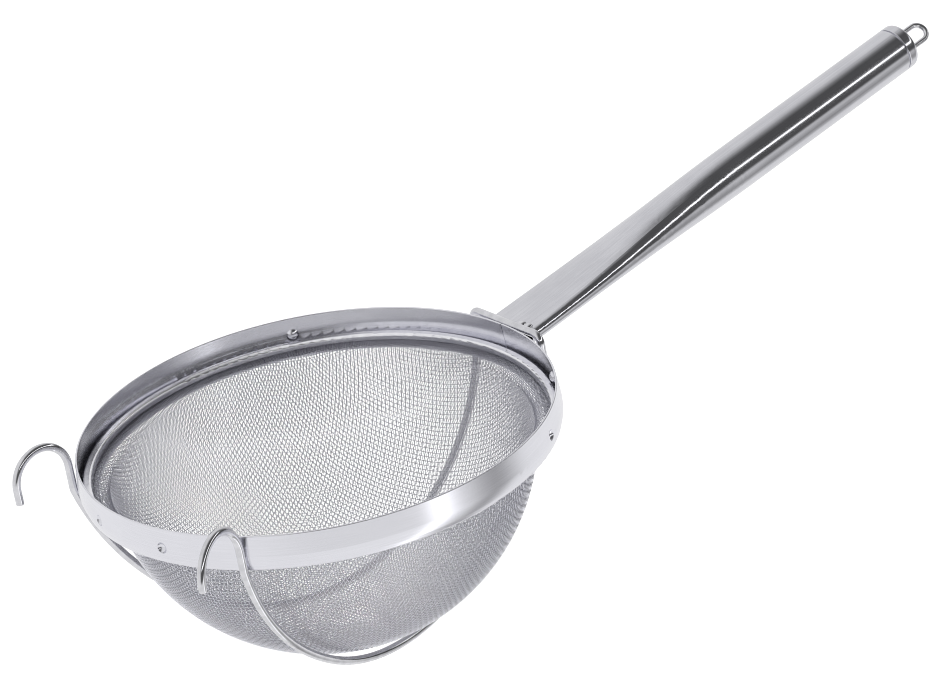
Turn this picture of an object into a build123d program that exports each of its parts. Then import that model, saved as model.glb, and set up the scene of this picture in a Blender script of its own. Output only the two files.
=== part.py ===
import os
from math import atan2, cos, pi, radians, sin, sqrt, tan
from build123d import *

# Double sieve strainer. Millimetres, +Z up, +X along the handle.
# The origin is the centre of the band's top edge circle.

# Rim band: a rolled strip with an inward lip at its foot
rim_radius = 115.0
band_height = 18.0
band_sheet = 1.0
band_swell = 1.3
band_swell_drop = 13.0
band_foot_draw = 0.4
lip_inner_radius = 106.5
band_edge_round = 0.4
foot_round = 1.6
seam_gap = 0.4

# Dimples punched into the band above the clamp ring
dimple_azimuths = (59.0, 169.7, 193.7, 303.3, 333.5)
dimple_radius = 3.8
dimple_drop = 9.3
dimple_standoff = 0.6

# Clamp ring lying on the mesh edges
ring_width = 4.4
ring_height = 3.5
ring_wall_gap = 0.4
ring_round = 1.3

# Two nested hemispherical wire cloth bowls
bowl_radius = 103.5
bowl_centre_drop = 9.4
coarse_cloth = 1.0
fine_cloth = 0.6
cloth_gap = 0.2
seat_gap = 0.05
coarse_shoulder = 2.5
cloth_edge_gap = 0.5

# Support wire: two arms under the bowl, a rest hook on each, one cross run
wire_diameter = 4.0
wire_band_gap = 0.1
arm_azimuth = 145.0
cross_half_length = 26.0
cross_drop = 0.5
cross_corner_radius = 5.0
arm_bowl_gap = 2.0
arm_lean = 7.0
arm_leg_drop = 15.0
arm_bend_angle = 13.0
arm_bend_radius = 8.0
wire_end_round = 0.6

# Rest hooks, plus Y side first: turn of the hook's plane, bend radius, top, tip
hook_turns = (180.8, 204.7)
hook_radii = (15.0, 17.5)
hook_tops = (15.0, 14.0)
hook_tips = (-9.5, -7.2)

# Handle tube, pressed flat where it meets the rim
tube_diameter = 24.0
tube_wall = 1.0
tube_length = 264.5
tube_pitch = 9.8
tube_root_drop = 6.0
tube_root_gap = 1.2
flat_width = 33.0
flat_thickness = 9.5
flat_join_angle = 80.0
flat_blend_length = 150.0

# End cap and hanging loop
cap_groove_width = 1.0
cap_groove_depth = 0.9
cap_head_length = 6.6
cap_edge_round = 3.0
cap_spigot_length = 12.0
cap_fit_clearance = 0.05
loop_wire = 2.7
loop_half_width = 4.6
loop_reach = 16.5
loop_socket_depth = 9.0
loop_fit_clearance = 0.05
loop_roll = 40.0

# Weld beads joining the cross run to the top of the tube
weld_offsets = (-9.0, -13.8)
weld_size = (2.6, 2.4, 1.6)
weld_lift = 1.0


# Sizes that follow from the ones above
swell_radius = rim_radius + band_swell
foot_radius = rim_radius - band_foot_draw
lip_top = -band_height + band_sheet
coarse_bottom = lip_top + seat_gap
coarse_top = coarse_bottom + coarse_cloth
fine_bottom = coarse_top + seat_gap
fine_top = fine_bottom + fine_cloth
ring_bottom = fine_top + seat_gap
ring_top = ring_bottom + ring_height
band_inner_top = rim_radius - band_sheet
ring_outer = band_inner_top - ring_wall_gap
ring_inner = ring_outer - ring_width
cloth_edge = ring_outer - cloth_edge_gap
fine_radius = bowl_radius - coarse_cloth - cloth_gap
wire_radius = wire_diameter / 2
arm_leg_radius = swell_radius + wire_band_gap + wire_radius
cross_x = rim_radius + band_swell * cross_drop / band_swell_drop + wire_band_gap + wire_radius
tube_root_x = cross_x + wire_radius + tube_root_gap
tube_radius = tube_diameter / 2
weld_x = (cross_x + wire_radius + tube_root_x) / 2
weld_z = flat_thickness / 2 - tube_root_drop + weld_lift


def revolved(outline):
    """Turn a closed XZ outline about the Z axis."""
    return revolve(Plane.XZ * outline, Axis.Z)


def rounded(face, corner, radius):
    """Round the corner of a flat outline that lies nearest to a point."""
    nearest = face.vertices().sort_by_distance((corner[0], corner[1], 0))[0]
    return fillet(nearest, radius)


def make_rim_band():
    swell = -band_swell_drop
    inner_foot = foot_radius - band_sheet
    outline = make_face(Polyline(
        (rim_radius, 0),
        (swell_radius, swell),
        (foot_radius, -band_height),
        (lip_inner_radius, -band_height),
        (lip_inner_radius, lip_top),
        (inner_foot, lip_top),
        (swell_radius - band_sheet, swell),
        (band_inner_top, 0),
        close=True,
    ))
    outline = rounded(outline, (foot_radius, -band_height), foot_round)
    outline = rounded(outline, (inner_foot, lip_top), foot_round / 2)
    outline = rounded(outline, (swell_radius, swell), 12.0)
    outline = rounded(outline, (swell_radius - band_sheet, swell), 11.0)
    outline = rounded(outline, (rim_radius, 0), band_edge_round)
    outline = rounded(outline, (band_inner_top, 0), band_edge_round)
    band = revolved(outline)
    core = Pos(0, 0, -dimple_drop) * Cylinder(rim_radius + 0.4, 3 * dimple_radius)
    centres = [Rot(0, 0, azimuth) * Pos(swell_radius + dimple_standoff, 0, -dimple_drop)
               for azimuth in dimple_azimuths]
    for centre in centres:
        band += core & (centre * Sphere(dimple_radius))
    for centre in centres:
        band -= centre * Sphere(dimple_radius - 0.9 * band_sheet)
    band -= Pos(rim_radius, 0, -band_height / 2) * Box(band_height, seam_gap, 2 * band_height)
    return band


def make_clamp_ring():
    middle = Pos((ring_inner + ring_outer) / 2, (ring_bottom + ring_top) / 2)
    outline = middle * Rectangle(ring_width, ring_height)
    outline = rounded(outline, (ring_inner, ring_top), ring_round)
    outline = rounded(outline, (ring_outer, ring_top), ring_round)
    outline = rounded(outline, (ring_inner, ring_bottom), ring_round / 3)
    outline = rounded(outline, (ring_outer, ring_bottom), ring_round / 3)
    return revolved(outline)


def bowl_arc(radius, level):
    """Arc of the bowl from its lowest point up to a level; returns arc and end radius."""
    reach = sqrt(radius**2 - (bowl_centre_drop + level) ** 2)
    half = (pi / 2 - atan2(-level - bowl_centre_drop, reach)) / 2
    low = (0, -bowl_centre_drop - radius)
    middle = (radius * sin(half), -bowl_centre_drop - radius * cos(half))
    return ThreePointArc(low, middle, (reach, level)), reach


def make_cloth_bowl(radius, cloth, bottom, shoulder):
    """Thin shell standing for a layer of woven wire cloth with a flat edge."""
    top = bottom + cloth
    outer_arc, outer_reach = bowl_arc(radius, bottom)
    inner_arc, inner_reach = bowl_arc(radius - cloth, top)
    outline = make_face(outer_arc.edges() + inner_arc.edges() + [
        Line((outer_reach, bottom), (cloth_edge, bottom)),
        Line((cloth_edge, bottom), (cloth_edge, top)),
        Line((cloth_edge, top), (inner_reach, top)),
        Line((0, -bowl_centre_drop - radius + cloth), (0, -bowl_centre_drop - radius)),
    ])
    outline = rounded(outline, (outer_reach, bottom), shoulder)
    outline = rounded(outline, (inner_reach, top), shoulder + cloth)
    return revolved(outline)


def leg_bend(corner, onward):
    """Top, middle and end of the bend from an upright leg into a run that leaves its corner."""
    half_turn = radians(onward.get_angle(Vector(0, 0, -1)) / 2)
    length = arm_bend_radius * tan(half_turn)
    crown = arm_bend_radius * (1 / cos(half_turn) - 1)
    inner = (Vector(0, 0, 1) + onward).normalized()
    return corner + Vector(0, 0, length), corner + inner * crown, corner + onward * length


def arm_path(foot, root):
    """Edges of one arm round the bowl, and the leg ends it joins at the hook and at the cross run."""
    near, far = foot - Vector(0, 0, arm_leg_drop), root - Vector(0, 0, arm_leg_drop)
    along = (far - near).normalized()
    inward = Vector(-along.Y, along.X, 0)
    inward = inward if inward.dot(near) < 0 else inward * -1
    lean, turn = radians(arm_lean), radians(arm_bend_angle)
    down = inward * sin(lean) - Vector(0, 0, cos(lean))
    normal = along.cross(down)
    bowl_centre = Vector(0, 0, -bowl_centre_drop)
    offset = (near - bowl_centre).dot(normal)
    middle = bowl_centre + normal * offset
    bend = sqrt((bowl_radius + arm_bowl_gap + wire_radius) ** 2 - offset**2)

    def flank(corner, across):
        """Leg bend, then one wide arc that meets the bend round the bowl without a corner."""
        onward = down * cos(turn) + across * sin(turn)
        square = across * cos(turn) - down * sin(turn)
        top, crown, end = leg_bend(corner, onward)
        span = end - middle
        wide = (bend**2 - span.dot(span)) / (2 * (span.dot(square) + bend))
        centre = end + square * wide
        meet = middle + (middle - centre).normalized() * bend
        half_way = centre + ((end - centre) + (meet - centre)).normalized() * wide
        return top, meet, [ThreePointArc(top, crown, end), ThreePointArc(end, half_way, meet)]

    near_top, near_meet, near_edges = flank(near, along)
    far_top, far_meet, far_edges = flank(far, along * -1)
    round_bowl = ThreePointArc(near_meet, middle + down * bend, far_meet)
    far_back = [ThreePointArc(edge @ 1, edge @ 0.5, edge @ 0) for edge in reversed(far_edges)]
    return near_top, far_top, near_edges + [round_bowl] + far_back


def hook_path(foot, leg_end, turn, radius, top, tip):
    """Edges from a hook's tip over its bend and down its leg."""
    out = Vector(cos(radians(turn)), sin(radians(turn)), 0)
    spring = top - radius - wire_radius

    def at(u, z):
        return foot + out * u + Vector(0, 0, z)

    return [
        Line(at(2 * radius, tip), at(2 * radius, spring)),
        ThreePointArc(at(2 * radius, spring), at(radius, spring + radius), at(0, spring)),
        Line(at(0, spring), leg_end),
    ]


def make_support_wire():
    corner = cross_corner_radius
    bend = corner * (1 - cos(pi / 4))
    halves = []
    for side, turn, radius, top, tip in zip((1, -1), hook_turns, hook_radii, hook_tops, hook_tips):
        azimuth = radians(arm_azimuth * side)
        foot = Vector(arm_leg_radius * cos(azimuth), arm_leg_radius * sin(azimuth), 0)
        root = Vector(cross_x, side * cross_half_length, 0)
        leg_end, root_leg_end, arm = arm_path(foot, root)
        edges = hook_path(foot, leg_end, turn, radius, top, tip) + arm
        leg_top = Vector(cross_x, side * cross_half_length, -cross_drop - corner)
        turn_mid = Vector(cross_x, side * (cross_half_length - bend), -cross_drop - bend)
        turn_end = Vector(cross_x, side * (cross_half_length - corner), -cross_drop)
        edges.append(Line(root_leg_end, leg_top))
        edges.append(ThreePointArc(leg_top, turn_mid, turn_end))
        halves.append((edges, turn_end))
    (left, left_end), (right, right_end) = halves
    path = Wire(left + [Line(left_end, right_end)] + right)
    start = path @ 0
    wire = sweep(Plane(start, z_dir=path % 0) * Circle(wire_radius), path=path)
    tips = [edge for edge in wire.edges().filter_by(GeomType.CIRCLE)
            if abs(edge.length - pi * wire_diameter) < 0.01
            and min(abs(edge.center().Z - tip) for tip in hook_tips) < 0.01
            and edge.center().X < foot_limit()]
    return fillet(tips, wire_end_round)


def foot_limit():
    """X beyond which no hook tip can lie."""
    return arm_leg_radius * cos(radians(arm_azimuth))


def handle_plane(distance):
    """Plane square to the tube's axis at a distance from its root; local X is sideways."""
    pitch = radians(tube_pitch)
    axis = Vector(cos(pitch), 0, sin(pitch))
    root = Vector(tube_root_x, 0, -tube_root_drop)
    return Plane(root + axis * distance, x_dir=(0, 1, 0), z_dir=axis)


def pressed_section(blend, wall):
    """Oval of four tangent arcs: 0 is the flat root, 1 the round tube; wall insets it."""
    ease = blend * blend * (3 - 2 * blend)
    half_width = (flat_width + (tube_diameter - flat_width) * ease) / 2
    half_thick = (flat_thickness + (tube_diameter - flat_thickness) * ease) / 2
    join = radians(flat_join_angle + (45 - flat_join_angle) * ease)
    share = sin(join) + cos(join) - 1
    side = (half_thick * cos(join) - (1 - sin(join)) * half_width) / share
    corner = (
        half_width - side + (side - wall) * cos(join),
        (side - wall) * sin(join),
    )
    right, top = half_width - wall, half_thick - wall
    return make_face([
        ThreePointArc((corner[0], -corner[1]), (right, 0), corner),
        ThreePointArc(corner, (0, top), (-corner[0], corner[1])),
        ThreePointArc((-corner[0], corner[1]), (-right, 0), (-corner[0], -corner[1])),
        ThreePointArc((-corner[0], -corner[1]), (0, -top), (corner[0], -corner[1])),
    ])


def tube_solid(wall, end):
    """Solid of the tube's outside, or of its bore, from the flat root to the round end."""
    stations = 6
    faces = [
        handle_plane(flat_blend_length * index / stations) * pressed_section(index / stations, wall)
        for index in range(stations + 1)
    ]
    straight = extrude(faces[-1], end - flat_blend_length)
    return loft(faces) + straight


def make_handle_tube():
    return tube_solid(0, tube_length) - tube_solid(tube_wall, tube_length)


def loop_plane():
    """Plane of the cap's end face, turned so local X runs from one loop leg to the other."""
    face = handle_plane(tube_length + cap_groove_width + cap_head_length)
    upward = face.z_dir.cross(Vector(0, 1, 0))
    roll = radians(loop_roll)
    return Plane(face.origin, x_dir=Vector(0, cos(roll), 0) + upward * sin(roll), z_dir=face.z_dir)


def make_end_cap():
    base = handle_plane(tube_length)
    spigot_radius = tube_radius - tube_wall - cap_fit_clearance
    spigot = extrude(base.offset(-cap_spigot_length) * Circle(spigot_radius), cap_spigot_length)
    neck = extrude(base * Circle(tube_radius - cap_groove_depth), cap_groove_width)
    head = Cylinder(tube_radius, cap_head_length, align=(Align.CENTER, Align.CENTER, Align.MIN))
    head = fillet(head.edges().sort_by(Axis.Z)[-1], cap_edge_round)
    head = fillet(head.edges().sort_by(Axis.Z)[0], 0.4)
    cap = spigot + neck + base.offset(cap_groove_width) * head
    face = loop_plane()
    for side in (-1, 1):
        socket = Pos(side * loop_half_width, 0, -loop_socket_depth) * Cylinder(
            loop_wire / 2 + loop_fit_clearance, loop_socket_depth + 1,
            align=(Align.CENTER, Align.CENTER, Align.MIN))
        cap -= face * socket
    return cap


def make_hanging_loop():
    face = loop_plane()
    reach = loop_reach - loop_wire / 2 - loop_half_width
    depth = loop_socket_depth - 0.2
    half = loop_half_width

    def at(x, z):
        return face.from_local_coords(Vector(x, 0, z))

    path = Wire([
        Line(at(-half, -depth), at(-half, reach)),
        ThreePointArc(at(-half, reach), at(0, reach + half), at(half, reach)),
        Line(at(half, reach), at(half, -depth)),
    ])
    return sweep(Plane(path @ 0, z_dir=path % 0) * Circle(loop_wire / 2), path=path)


def make_weld_beads(wire, tube):
    """Beads along the top of the cross run, cut to the wire and the tube they join."""
    beads = []
    for offset in weld_offsets:
        middle = Pos(weld_x, offset, weld_z)
        beads.append(middle * scale(Sphere(1.0), by=weld_size) - wire - tube)
    return Compound(beads)


def main():
    os.makedirs("parts", exist_ok=True)
    wire = make_support_wire()
    tube = make_handle_tube()
    pieces = {
        "rim_band": make_rim_band(),
        "clamp_ring": make_clamp_ring(),
        "fine_mesh_bowl": make_cloth_bowl(fine_radius, fine_cloth, fine_bottom, coarse_shoulder + coarse_cloth),
        "coarse_mesh_bowl": make_cloth_bowl(bowl_radius, coarse_cloth, coarse_bottom, coarse_shoulder),
        "support_wire": wire,
        "handle_tube": tube,
        "end_cap": make_end_cap(),
        "hanging_loop": make_hanging_loop(),
        "weld_beads": make_weld_beads(wire, tube),
    }
    for name, shape in pieces.items():
        box = shape.bounding_box()
        print(name, round(shape.volume), [round(v, 1) for v in (*box.min, *box.max)])
        export_step(shape, f"parts/{name}.step")


main()
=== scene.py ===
import math

import bmesh
import bpy
from mathutils import Matrix, Vector


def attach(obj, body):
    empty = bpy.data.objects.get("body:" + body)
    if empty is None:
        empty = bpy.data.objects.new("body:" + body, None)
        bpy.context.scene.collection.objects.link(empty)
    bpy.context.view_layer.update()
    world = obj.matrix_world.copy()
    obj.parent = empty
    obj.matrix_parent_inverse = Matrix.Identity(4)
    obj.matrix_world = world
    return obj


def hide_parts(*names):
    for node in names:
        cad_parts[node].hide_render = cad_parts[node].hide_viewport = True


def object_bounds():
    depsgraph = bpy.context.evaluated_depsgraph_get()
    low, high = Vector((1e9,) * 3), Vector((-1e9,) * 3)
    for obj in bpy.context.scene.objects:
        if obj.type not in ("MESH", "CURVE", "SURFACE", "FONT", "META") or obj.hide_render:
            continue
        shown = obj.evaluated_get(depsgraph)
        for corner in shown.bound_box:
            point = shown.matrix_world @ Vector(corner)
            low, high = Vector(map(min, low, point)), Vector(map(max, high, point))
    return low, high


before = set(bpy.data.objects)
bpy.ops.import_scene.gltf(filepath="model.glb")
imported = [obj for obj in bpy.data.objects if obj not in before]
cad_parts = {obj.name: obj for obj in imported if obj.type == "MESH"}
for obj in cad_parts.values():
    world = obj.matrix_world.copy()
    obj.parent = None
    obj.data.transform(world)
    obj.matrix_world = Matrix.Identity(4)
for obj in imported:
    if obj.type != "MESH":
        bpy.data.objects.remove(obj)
cadLow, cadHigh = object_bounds()
print("frame loaded")


# arithmetic on a Signal adds Math nodes
class Signal:
    def __init__(self, pad, socket):
        self.pad = pad
        self.socket = socket

    def maths(self, operation, first, second):
        return self.pad.add("ShaderNodeMath", {"operation": operation}, {0: first, 1: second})

    def __add__(self, other):
        return self.maths("ADD", self, other)

    def __radd__(self, other):
        return self.maths("ADD", other, self)

    def __sub__(self, other):
        return self.maths("SUBTRACT", self, other)

    def __rsub__(self, other):
        return self.maths("SUBTRACT", other, self)

    def __mul__(self, other):
        return self.maths("MULTIPLY", self, other)

    def __rmul__(self, other):
        return self.maths("MULTIPLY", other, self)


class NodePad:
    def __init__(self, tree):
        self.tree = tree
        tree.nodes.clear()

    # any node: its settings first, then the values or links of its sockets
    def add(self, kind, settings=None, values=None, output=0):
        node = self.tree.nodes.new(kind)
        for key, value in (settings or {}).items():
            setattr(node, key, value)
        for key, value in (values or {}).items():
            if isinstance(value, Signal):
                self.tree.links.new(value.socket, node.inputs[key])
            else:
                node.inputs[key].default_value = value
        return Signal(self, node.outputs[output] if node.outputs else None)

    def split(self, vector):
        parts = self.add("ShaderNodeSeparateXYZ", None, {0: vector})
        return [Signal(self, parts.socket.node.outputs[axis]) for axis in range(3)]

    def ramp(self, factor, low, high, floorValue=0.0, ceilingValue=1.0):
        return self.add("ShaderNodeMapRange", {"interpolation_type": "SMOOTHSTEP"},
                        {0: factor, 1: low, 2: high, 3: floorValue, 4: ceilingValue})


def newMaterial(name):
    material = bpy.data.materials.new(name)
    material.use_nodes = True
    return material, NodePad(material.node_tree)


def finishSteel(pad, look, colour, roughness, normal=None):
    values = {
        "Base Color": colour,
        "Metallic": 1.0,
        "Roughness": roughness,
        "Specular IOR Level": look["edgeShine"],
    }
    if normal is not None:
        values["Normal"] = normal
    shader = pad.add("ShaderNodeBsdfPrincipled", None, values)
    pad.add("ShaderNodeOutputMaterial", None, {"Surface": shader})


bandLook = {"colour": (0.81, 0.81, 0.86), "dull": (0.76, 0.76, 0.81), "roughness": 0.20, "edgeShine": 0.5,
            "streakCount": 1800.0, "streakBend": 4.0, "streakBump": 0.02, "streakRoughness": 0.06,
            "cloudScale": 22.0, "cloudRoughness": 0.04, "wearFrom": 0.35, "wearTo": 0.65}


def makeBandSteel(look, name):
    material, pad = newMaterial(name)
    place = pad.add("ShaderNodeTexCoord", None, None, 3)
    x, y, z = pad.split(place)
    around = y.maths("ARCTAN2", y, x)
    lines = pad.add("ShaderNodeCombineXYZ", None,
                    {0: around * look["streakBend"], 1: z * look["streakCount"], 2: 0.0})
    streak = pad.add("ShaderNodeTexNoise", None,
                     {"Vector": lines, "Scale": 1.0, "Detail": 3.0, "Roughness": 0.6})
    cloud = pad.add("ShaderNodeTexNoise", None, {"Vector": place, "Scale": look["cloudScale"], "Detail": 3.0})
    wear = pad.ramp(streak * 0.5 + cloud * 0.5, look["wearFrom"], look["wearTo"])
    colour = pad.add("ShaderNodeMix", {"data_type": "RGBA"},
                     {0: wear, 6: (*look["dull"], 1), 7: (*look["colour"], 1)}, 2)
    roughness = (look["roughness"] + look["streakRoughness"] * (streak - 0.5)
                 + look["cloudRoughness"] * (cloud - 0.5))
    bump = pad.add("ShaderNodeBump", None,
                   {"Strength": look["streakBump"], "Distance": 0.0002, "Height": streak})
    finishSteel(pad, look, colour, roughness, bump)
    return material


tubeLook = {"colour": (0.70, 0.70, 0.74), "dull": (0.60, 0.60, 0.64), "roughness": 0.14, "edgeShine": 0.5,
            "pitch": math.radians(9.8), "lineCount": 1500.0, "lineLength": 14.0, "lineBump": 0.04,
            "lineRoughness": 0.10, "cloudScale": 45.0, "cloudRoughness": 0.08, "wearFrom": 0.3, "wearTo": 0.7}


def makeTubeSteel(look):
    material, pad = newMaterial("satinTubeSteel")
    place = pad.add("ShaderNodeTexCoord", None, None, 3)
    turned = pad.add("ShaderNodeMapping", None, {"Vector": place, "Rotation": (0, look["pitch"], 0)})
    lineScale = (look["lineLength"], look["lineCount"], look["lineCount"])
    stretched = pad.add("ShaderNodeMapping", None, {"Vector": turned, "Scale": lineScale})
    line = pad.add("ShaderNodeTexNoise", None, {"Vector": stretched, "Scale": 1.0, "Detail": 2.0})
    cloud = pad.add("ShaderNodeTexNoise", None, {"Vector": place, "Scale": look["cloudScale"], "Detail": 4.0})
    wear = pad.ramp(line * 0.5 + cloud * 0.5, look["wearFrom"], look["wearTo"])
    colour = pad.add("ShaderNodeMix", {"data_type": "RGBA"},
                     {0: wear, 6: (*look["dull"], 1), 7: (*look["colour"], 1)}, 2)
    roughness = (look["roughness"] + look["lineRoughness"] * (line - 0.5)
                 + look["cloudRoughness"] * (cloud - 0.5))
    bump = pad.add("ShaderNodeBump", None, {"Strength": look["lineBump"], "Distance": 0.0002, "Height": line})
    finishSteel(pad, look, colour, roughness, bump)
    return material


def makeWireSteel(look, name):
    material, pad = newMaterial(name)
    place = pad.add("ShaderNodeTexCoord", None, None, 3)
    cloud = pad.add("ShaderNodeTexNoise", None, {"Vector": place, "Scale": look["grain"], "Detail": 4.0})
    wear = pad.ramp(cloud, look["wearFrom"], look["wearTo"])
    colour = pad.add("ShaderNodeMix", {"data_type": "RGBA"},
                     {0: wear, 6: (*look["dull"], 1), 7: (*look["colour"], 1)}, 2)
    roughness = look["roughness"] + look["roughSpread"] * (cloud - 0.5)
    bump = pad.add("ShaderNodeBump", None, {"Strength": look["bump"], "Distance": 0.0001, "Height": cloud})
    finishSteel(pad, look, colour, roughness, bump)
    return material


polishedLook = {"colour": (0.74, 0.74, 0.77), "dull": (0.64, 0.64, 0.67), "roughness": 0.12,
                "roughSpread": 0.10,
                "edgeShine": 0.5, "grain": 260.0, "bump": 0.05, "wearFrom": 0.3, "wearTo": 0.7}
bowlCentre = -0.0094  # height of the centre of both cloths
# cloth wire colours: a light painted highlight on the open side and a dark painted shade towards the other
# layer
clothLook = {"paintedLight": (0.95, 0.95, 1.0), "paintedShade": (0.44, 0.44, 0.50),
             "paintedLightRoughness": 0.16, "paintedShadeRoughness": 0.40,
             "edgeShine": 0.5, "paintedShadeShare": -0.3, "paintedLightShare": 0.5}


def makeClothSteelWithPaintedLight(look, name, radius, wire, facing):
    # painted light: the wires get a painted highlight on the cloth's open side and painted shade towards the
    # other layer
    material, pad = newMaterial(name)
    place = pad.add("ShaderNodeTexCoord", None, None, 3)
    middle = pad.add("ShaderNodeCombineXYZ", None, {2: bowlCentre})
    distance = pad.add("ShaderNodeVectorMath", {"operation": "DISTANCE"}, {0: place, 1: middle}, 1)
    offset = (distance - radius) * facing
    # mask from painted shade (towards the other layer) to painted highlight (open side)
    paintedLight = pad.ramp(offset, wire * look["paintedShadeShare"], wire * look["paintedLightShare"])
    colour = pad.add("ShaderNodeMix", {"data_type": "RGBA"},
                     {0: paintedLight, 6: (*look["paintedShade"], 1), 7: (*look["paintedLight"], 1)}, 2)
    roughness = look["paintedShadeRoughness"] + paintedLight * (look["paintedLightRoughness"] - look["paintedShadeRoughness"])
    finishSteel(pad, look, colour, roughness)
    return material



bandSteel = makeBandSteel(bandLook, "satinBandSteel")
tubeSteel = makeTubeSteel(tubeLook)
polishedSteel = makeWireSteel(polishedLook, "polishedWireSteel")
ringLook = {**polishedLook, "colour": (0.92, 0.92, 0.95), "dull": (0.84, 0.84, 0.88), "roughness": 0.20}
ringSteel = makeWireSteel(ringLook, "brightRingSteel")
print("materials made")

nodeFinish = {
    "rim_band": bandSteel,
    "clamp_ring": ringSteel,
    "support_wire": polishedSteel,
    "handle_tube": tubeSteel,
    "end_cap": tubeSteel,
    "hanging_loop": polishedSteel,
    "weld_beads": polishedSteel,
}
for nodeName, finish in nodeFinish.items():
    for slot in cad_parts[nodeName].material_slots:
        slot.material = finish


# each cloth is a net of equal sides drawn over the bowl, then out over its shoulder
fineCloth = {"node": "fine_mesh_bowl", "slot": "fine_cloth", "name": "fineCloth", "pieces": 3,
             "radius": 0.1020, "level": -0.0156, "shoulder": 0.0038, "edge": 0.1128,
             "pitch": 0.00130, "wire": 0.00024, "turn": math.radians(57.4), "facing": -1.0}
coarseCloth = {"node": "coarse_mesh_bowl", "slot": "coarse_cloth", "name": "coarseCloth", "pieces": 2,
               "radius": 0.1030, "level": -0.01645, "shoulder": 0.0030, "edge": 0.1128,
               "pitch": 0.00215, "wire": 0.00038, "turn": math.radians(20.0), "facing": 1.0}


def clothProfile(cloth):
    # from arc length off the lowest point to radius, height and the outward tilt of the cloth
    radius, bend, level = cloth["radius"], cloth["shoulder"], cloth["level"]
    rise = level - bend - bowlCentre
    reach = math.sqrt((radius + bend) ** 2 - rise ** 2)
    meet = math.atan2(rise, reach)
    sphereEnd = radius * (math.pi / 2 + meet)
    bendEnd = sphereEnd + bend * (math.pi / 2 + meet)
    longest = bendEnd + cloth["edge"] - reach

    def at(length):
        if length < sphereEnd:
            angle = length / radius
            return radius * math.sin(angle), bowlCentre - radius * math.cos(angle), angle
        if length < bendEnd:
            turned = (length - sphereEnd) / bend
            back = math.pi + meet - turned
            height = level - bend + bend * math.sin(back)
            return reach + bend * math.cos(back), height, sphereEnd / radius - turned
        return reach + length - bendEnd, level, 0.0

    return at, longest


def netQuarter(cloth, longest):
    # one quarter of the net on a unit sphere, by mirroring each cell's first corner in its diagonal
    step = cloth["pitch"] / cloth["radius"]
    limit = longest / cloth["radius"]
    count = int(limit / step) + 1
    rows = [[Vector((math.sin(i * step), 0, -math.cos(i * step))) for i in range(count)]]
    for j in range(1, count):
        row = [Vector((0, math.sin(j * step), -math.cos(j * step)))]
        above = rows[-1]
        for i in range(1, count):
            if i >= len(above):
                break
            normal = above[i].cross(row[-1]).normalized()
            corner = above[i - 1] - normal * (2 * above[i - 1].dot(normal))
            if math.acos(max(-1, min(1, -corner.z))) > limit:
                break
            row.append(corner)
        rows.append(row)
    return rows, count


def clothPoint(cloth, at, corner, side):
    angle = math.acos(max(-1, min(1, -corner.z)))
    reach, height, tilt = at(angle * cloth["radius"])
    flat = math.hypot(corner.x, corner.y)
    east, north = (corner.x / flat, corner.y / flat) if flat > 1e-9 else (1.0, 0.0)
    cosTurn, sinTurn = math.cos(cloth["turn"]), math.sin(cloth["turn"])
    east, north = east * cosTurn - north * sinTurn, east * sinTurn + north * cosTurn
    offset = side * cloth["wire"] / 2
    reach += offset * math.sin(tilt)
    height -= offset * math.cos(tilt)
    return reach * east, reach * north, height


shortestRun = 2  # points, fewer make no wire


def weaveCloth(cloth):
    at, longest = clothProfile(cloth)
    rows, count = netQuarter(cloth, longest)
    steel = makeClothSteelWithPaintedLight(clothLook, cloth["name"] + "Steel",
                           cloth["radius"], cloth["wire"], cloth["facing"])

    def corner(i, j):
        if abs(j) >= len(rows) or abs(i) >= len(rows[abs(j)]):
            return None
        found = rows[abs(j)][abs(i)]
        east = math.copysign(found.x, i) if i else 0.0
        north = math.copysign(found.y, j) if j else 0.0
        return Vector((east, north, found.z))

    span = 2 * count - 1
    for family, swap in (("Warp", False), ("Weft", True)):
        for part in range(cloth["pieces"]):
            curve = bpy.data.curves.new(f"{cloth['name']}{family}{part + 1}", "CURVE")
            curve.dimensions = "3D"
            curve.bevel_depth = cloth["wire"] / 2
            curve.bevel_resolution = 0
            curve.use_fill_caps = True
            first = -count + 1 + part * span // cloth["pieces"]
            last = -count + 1 + (part + 1) * span // cloth["pieces"]
            for line in range(first, last):
                run = []
                for step in range(-count + 1, count):
                    found = corner(step, line) if not swap else corner(line, step)
                    if found is None:
                        continue
                    side = 1 if (step + line) % 2 == 0 else -1
                    run.extend((*clothPoint(cloth, at, found, -side if swap else side), 1.0))
                if len(run) < 4 * shortestRun:
                    continue
                spline = curve.splines.new("POLY")
                spline.points.add(len(run) // 4 - 1)
                spline.points.foreach_set("co", run)
                spline.use_smooth = True
            piece = bpy.data.objects.new(curve.name, curve)
            bpy.context.scene.collection.objects.link(piece)
            curve.materials.append(steel)
            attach(piece, "root")
            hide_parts(cloth["node"])
    print(cloth["name"], "woven in", 2 * cloth["pieces"], "pieces")


weaveCloth(fineCloth)
weaveCloth(coarseCloth)


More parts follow.
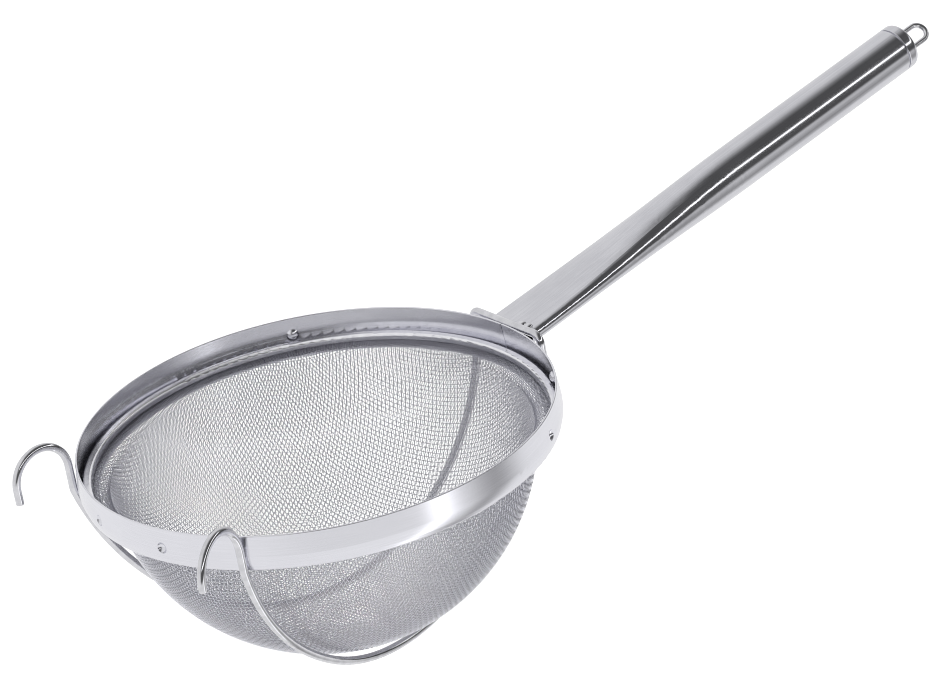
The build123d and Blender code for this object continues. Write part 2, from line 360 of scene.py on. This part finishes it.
stageLook = {"floorSize": 30.0, "floorColour": (0.93, 0.93, 0.93), "floorGlow": 1.3, "glowShare": 0.75,
             "floorGap": 0.0002, "softboxSize": 3.2, "softboxHeight": 2.2, "softboxPower": 16.0}
floorMesh = bpy.data.meshes.new("floor")
floorShape = bmesh.new()
bmesh.ops.create_grid(floorShape, x_segments=1, y_segments=1, size=stageLook["floorSize"] / 2)
floorShape.to_mesh(floorMesh)
floorShape.free()
floor = bpy.data.objects.new("floor", floorMesh)
floor.location.z = cadLow.z - stageLook["floorGap"]
bpy.context.scene.collection.objects.link(floor)
floorMaterial, floorPad = newMaterial("paleFloor")
floorShade = floorPad.add("ShaderNodeBsdfDiffuse", None, {"Color": (*stageLook["floorColour"], 1)})
floorGlow = floorPad.add("ShaderNodeEmission", None,
                         {"Color": (1, 1, 1, 1), "Strength": stageLook["floorGlow"]})
floorBoth = floorPad.add("ShaderNodeMixShader", None,
                         {0: stageLook["glowShare"], 1: floorShade, 2: floorGlow})
floorPad.add("ShaderNodeOutputMaterial", None, {"Surface": floorBoth})
floorMesh.materials.append(floorMaterial)
floor.visible_glossy = False

# the studio that the metal mirrors: light all round, above the horizon dark towards the right with one
# bright strip, and below it one bright and one dimmer stretch that show on the band
studioLook = {"light": 0.84, "low": 0.93, "dark": 0.10, "darkAzimuth": math.radians(-62.0),
              "darkFrom": -0.25, "darkTo": 0.45, "horizonFrom": -15.0, "horizonTo": -4.0,
              "lampAzimuth": -74.0, "lampSpread": 11.0, "lampLevel": 0.95,
              "shadeAzimuth": -42.0, "shadeSpread": 24.0, "shadeLevel": -0.55,
              "stripHeight": 23.0, "stripDepth": 4.5, "stripLevel": 2.4, "stripFrom": 0.35, "stripTo": 0.6}
world = bpy.data.worlds.new("studio")
world.use_nodes = True
bpy.context.scene.world = world
sky = NodePad(world.node_tree)
direction = sky.add("ShaderNodeTexCoord")
eastward, northward, upward = sky.split(direction)
height = sky.add("ShaderNodeMath", {"operation": "ARCSINE"}, {0: upward}) * (180 / math.pi)
rightward = eastward * math.cos(studioLook["darkAzimuth"]) + northward * math.sin(studioLook["darkAzimuth"])
above = sky.ramp(height, studioLook["horizonFrom"], studioLook["horizonTo"])
dark = above * sky.ramp(rightward, studioLook["darkFrom"], studioLook["darkTo"])
offStrip = sky.add("ShaderNodeMath", {"operation": "ABSOLUTE"}, {0: height - studioLook["stripHeight"]})
stripSide = sky.ramp(rightward, studioLook["stripFrom"], studioLook["stripTo"])
strip = sky.ramp(offStrip, studioLook["stripDepth"], studioLook["stripDepth"] * 0.5) * stripSide
around = sky.add("ShaderNodeMath", {"operation": "ARCTAN2"}, {0: northward, 1: eastward}) * (180 / math.pi)
below = studioLook["low"]
for part in ("lamp", "shade"):
    away = sky.add("ShaderNodeMath", {"operation": "ABSOLUTE"}, {0: around - studioLook[part + "Azimuth"]})
    below = sky.ramp(away, studioLook[part + "Spread"], 0.0, 0.0, studioLook[part + "Level"]) + below
base = below * (1 - above) + studioLook["light"] * above
shown = base * (1 - dark) + dark * studioLook["dark"] + strip * studioLook["stripLevel"]
seen = sky.add("ShaderNodeLightPath")
glow = sky.add("ShaderNodeBackground", None, {"Color": (1, 1, 1, 1), "Strength": shown})
plain = sky.add("ShaderNodeBackground", None, {"Color": (1, 1, 1, 1), "Strength": 1.0})
both = sky.add("ShaderNodeMixShader", None, {0: seen, 1: glow, 2: plain})
sky.add("ShaderNodeOutputWorld", None, {"Surface": both})

softbox = bpy.data.lights.new("softbox", "AREA")
softbox.size = stageLook["softboxSize"]
softbox.energy = stageLook["softboxPower"]
softboxObject = bpy.data.objects.new("softbox", softbox)
softboxObject.location = (0, 0, stageLook["softboxHeight"])
softboxObject.visible_glossy = False
bpy.context.scene.collection.objects.link(softboxObject)

bpy.context.scene.view_settings.view_transform = "Standard"
if hasattr(bpy.context.scene, "cycles"):
    bpy.context.scene.cycles.filter_width = 1.0

cameraLook = {"lens": 200.81, "place": (-1.194315, -1.870697, 1.079051),
              "right": (0.766866, -0.621307, -0.160916), "up": (0.386212, 0.246481, 0.888869)}
camera = bpy.data.objects.new("camera", bpy.data.cameras.new("camera"))
camera.data.lens = cameraLook["lens"]
camera.data.clip_end = 100
right, up = Vector(cameraLook["right"]), Vector(cameraLook["up"])
turn = Matrix((right, up, right.cross(up))).transposed().to_4x4()
camera.matrix_world = Matrix.Translation(cameraLook["place"]) @ turn
bpy.context.scene.collection.objects.link(camera)
bpy.context.scene.camera = camera
print("stage set")
